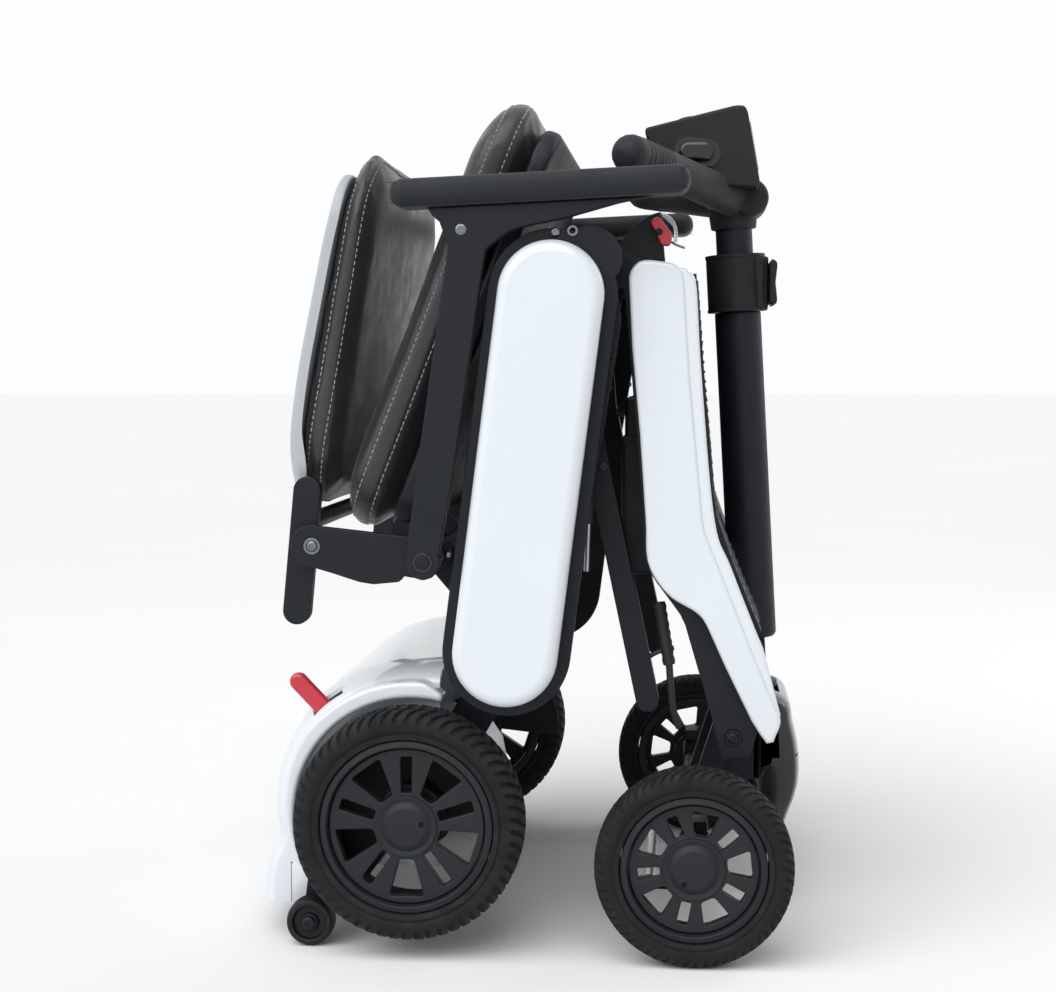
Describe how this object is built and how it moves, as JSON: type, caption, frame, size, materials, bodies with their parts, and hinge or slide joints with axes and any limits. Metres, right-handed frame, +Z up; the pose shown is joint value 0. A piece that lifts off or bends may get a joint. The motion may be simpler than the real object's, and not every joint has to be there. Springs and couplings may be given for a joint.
{
  "type": "mobility scooter",
  "caption": "Folding four-wheel mobility scooter, folded upright: hinged frame, padded seat and backrest, armrests, telescoping tiller and anti-tip rollers.",
  "frame": {"origin": "on the floor, straight below the middle of the rear axle", "axes": "+X forward, +Y to the rider's left, +Z up"},
  "size_m": [0.488, 0.528, 0.75],
  "materials": {
    "frame_black": "satin powder coat, near black",
    "bare_alloy": "bead blasted",
    "gloss_white": "high gloss cool white",
    "gloss_black": "high gloss black",
    "plastic_black": "fine moulded texture, near black",
    "wheel_plastic": "moulded charcoal plastic",
    "tyre_rubber": "solid charcoal rubber",
    "grip_rubber": "soft matt rubber",
    "leatherette": "charcoal leatherette with light grey double stitching",
    "shell_grey": "light grey satin shell",
    "lever_red": "glossy red"
  },
  "bodies": {
    "rear_unit": {"rear_subframe": "frame_black", "rear_axle_housing": "bare_alloy", "drive_motor": "frame_black", "rear_cover": "gloss_white", "seat_bracket_right": "frame_black", "seat_bracket_left": "frame_black", "anti_tip_arm_right": "frame_black", "anti_tip_arm_left": "frame_black"},
    "rear_wheel_right": {"rear_tyre_right": "tyre_rubber", "rear_rim_right": "wheel_plastic"},
    "rear_wheel_left": {"rear_tyre_left": "tyre_rubber", "rear_rim_left": "wheel_plastic"},
    "anti_tip_roller_right": {"anti_tip_wheel_right": "plastic_black"},
    "anti_tip_roller_left": {"anti_tip_wheel_left": "plastic_black"},
    "freewheel_handle": {"freewheel_lever": "lever_red"},
    "rear_frame": {"apex_shaft": "frame_black", "frame_cross_tube": "frame_black", "frame_side_right": "frame_black", "frame_side_left": "frame_black", "frame_cover_right": "gloss_white", "frame_cover_left": "gloss_white"},
    "deck_frame": {"deck_floor": "plastic_black", "battery_box": "plastic_black", "latch_bracket": "frame_black", "deck_side_plate_right": "frame_black", "deck_side_plate_left": "frame_black", "deck_panel_right": "gloss_white", "deck_panel_left": "gloss_white", "deck_strut_right": "frame_black", "deck_strut_left": "frame_black"},
    "latch_handle": {"latch_lever": "lever_red"},
    "front_unit": {"front_chassis": "frame_black", "front_cover": "gloss_black"},
    "steering_knuckle_right": {"knuckle_right": "frame_black"},
    "steering_knuckle_left": {"knuckle_left": "frame_black"},
    "track_rod": {"tie_rod": "bare_alloy"},
    "front_wheel_right": {"front_tyre_right": "tyre_rubber", "front_rim_right": "wheel_plastic"},
    "front_wheel_left": {"front_tyre_left": "tyre_rubber", "front_rim_left": "wheel_plastic"},
    "steering_head": {"steering_stem": "frame_black"},
    "tiller_lower": {"tiller_lower_tube": "frame_black", "tiller_collar": "plastic_black"},
    "clamp_handle": {"clamp_lever": "plastic_black"},
    "tiller_upper": {"tiller_upper_tube": "frame_black", "handlebar": "grip_rubber", "console": "plastic_black"},
    "dial": {"speed_dial": "plastic_black"},
    "throttle_right": {"throttle_lever_right": "plastic_black"},
    "throttle_left": {"throttle_lever_left": "plastic_black"},
    "seat": {"seat_pan": "frame_black", "seat_cushion": "leatherette"},
    "backrest": {"backrest_frame": "frame_black", "backrest_shell": "shell_grey", "backrest_cushion": "leatherette"},
    "armrest_right": {"armrest_post_right": "frame_black", "armrest_pad_right": "grip_rubber"},
    "armrest_left": {"armrest_post_left": "frame_black", "armrest_pad_left": "grip_rubber"}
  },
  "joints": [
    {"name": "frame_fold", "type": "hinge", "parent": "rear_unit", "child": "rear_frame", "pos_m": [0.084, 0, 0.262], "axis": [0, 1, 0], "range_deg": [0, 106.5]},
    {"name": "deck_fold", "type": "hinge", "parent": "rear_frame", "child": "deck_frame", "pos_m": [0.155, 0, 0.6], "axis": [0, -1, 0], "range_deg": [0, 192]},
    {"name": "front_level", "type": "hinge", "parent": "deck_frame", "child": "front_unit", "pos_m": [0.278, 0, 0.188], "axis": [0, 1, 0], "range_deg": [0, 85.5]},
    {"name": "seat_fold", "type": "hinge", "parent": "rear_unit", "child": "seat", "pos_m": [0.014, 0, 0.343], "axis": [0, 1, 0], "range_deg": [0, 68.6]},
    {"name": "backrest_recline", "type": "hinge", "parent": "rear_unit", "child": "backrest", "pos_m": [-0.084, 0, 0.355], "axis": [0, -1, 0], "range_deg": [0, 22]},
    {"name": "armrest_flip_right", "type": "hinge", "parent": "rear_unit", "child": "armrest_right", "pos_m": [0.014, 0, 0.343], "axis": [0, -1, 0], "range_deg": [0, 90]},
    {"name": "armrest_flip_left", "type": "hinge", "parent": "rear_unit", "child": "armrest_left", "pos_m": [0.014, 0, 0.343], "axis": [0, -1, 0], "range_deg": [0, 90]},
    {"name": "freewheel_lift", "type": "hinge", "parent": "rear_unit", "child": "freewheel_handle", "pos_m": [-0.058, -0.191, 0.18], "axis": [0, 1, 0], "range_deg": [0, 20]},
    {"name": "rear_wheel_spin_right", "type": "hinge", "parent": "rear_unit", "child": "rear_wheel_right", "pos_m": [0, -0.235, 0.117], "axis": [0, 1, 0], "continuous": true},
    {"name": "rear_wheel_spin_left", "type": "hinge", "parent": "rear_unit", "child": "rear_wheel_left", "pos_m": [0, 0.235, 0.117], "axis": [0, 1, 0], "continuous": true},
    {"name": "anti_tip_spin_right", "type": "hinge", "parent": "rear_unit", "child": "anti_tip_roller_right", "pos_m": [-0.092, -0.212, 0.021], "axis": [0, 1, 0], "continuous": true},
    {"name": "anti_tip_spin_left", "type": "hinge", "parent": "rear_unit", "child": "anti_tip_roller_left", "pos_m": [-0.092, 0.212, 0.021], "axis": [0, 1, 0], "continuous": true},
    {"name": "latch_release", "type": "hinge", "parent": "deck_frame", "child": "latch_handle", "pos_m": [0.212, -0.196, 0.624], "axis": [0, 1, 0], "range_deg": [0, 25]},
    {"name": "steer", "type": "hinge", "parent": "front_unit", "child": "steering_head", "pos_m": [0.3018, 0, 0.226], "axis": [-0.0557, 0, 0.9984], "range_deg": [-8, 8]},
    {"name": "tiller_tilt", "type": "hinge", "parent": "steering_head", "child": "tiller_lower", "pos_m": [0.3018, 0, 0.226], "axis": [0, -1, 0], "range_deg": [0, 15.1]},
    {"name": "knuckle_turn_right", "type": "hinge", "parent": "front_unit", "child": "steering_knuckle_right", "pos_m": [0.245, -0.2, 0.085], "axis": [0, 0, 1], "range_deg": [-8.1, 8.1]},
    {"name": "knuckle_turn_left", "type": "hinge", "parent": "front_unit", "child": "steering_knuckle_left", "pos_m": [0.245, 0.2, 0.085], "axis": [0, 0, 1], "range_deg": [-8.1, 8.1]},
    {"name": "tie_rod_shift", "type": "slide", "parent": "front_unit", "child": "track_rod", "axis": [0, 1, 0], "range_m": [-0.0057, 0.0057]},
    {"name": "front_wheel_spin_right", "type": "hinge", "parent": "steering_knuckle_right", "child": "front_wheel_right", "pos_m": [0.245, -0.24, 0.085], "axis": [0, 1, 0], "continuous": true},
    {"name": "front_wheel_spin_left", "type": "hinge", "parent": "steering_knuckle_left", "child": "front_wheel_left", "pos_m": [0.245, 0.24, 0.085], "axis": [0, 1, 0], "continuous": true},
    {"name": "tiller_extend", "type": "slide", "parent": "tiller_lower", "child": "tiller_upper", "axis": [-0.0557, 0, 0.9984], "range_m": [0, 0.15]},
    {"name": "clamp_release", "type": "hinge", "parent": "tiller_lower", "child": "clamp_handle", "pos_m": [0.31555, 0.018, 0.589], "axis": [0, 0, 1], "range_deg": [0, 100]},
    {"name": "dial_turn", "type": "hinge", "parent": "tiller_upper", "child": "dial", "pos_m": [0.2328, 0, 0.739], "axis": [-0.2316, 0, 0.9728], "range_deg": [-135, 135]},
    {"name": "throttle_press_right", "type": "hinge", "parent": "tiller_upper", "child": "throttle_right", "pos_m": [0.243, -0.068, 0.707], "axis": [0, 1, 0], "range_deg": [-20, 20], "stiffness_Nm_per_rad": 0.6},
    {"name": "throttle_press_left", "type": "hinge", "parent": "tiller_upper", "child": "throttle_left", "pos_m": [0.243, 0.068, 0.707], "axis": [0, 1, 0], "range_deg": [-20, 20], "stiffness_Nm_per_rad": 0.6}
  ],
  "couplings": [
    {"joint": "deck_fold", "follows": "frame_fold", "ratio": 1.8019},
    {"joint": "front_level", "follows": "frame_fold", "ratio": 0.80188},
    {"joint": "seat_fold", "follows": "frame_fold", "ratio": 0.64319},
    {"joint": "tiller_tilt", "follows": "frame_fold", "ratio": 0.14084},
    {"joint": "knuckle_turn_right", "follows": "steer", "ratio": 1},
    {"joint": "knuckle_turn_left", "follows": "steer", "ratio": 1},
    {"joint": "tie_rod_shift", "follows": "steer", "m_per_rad": -0.04}
  ]
}
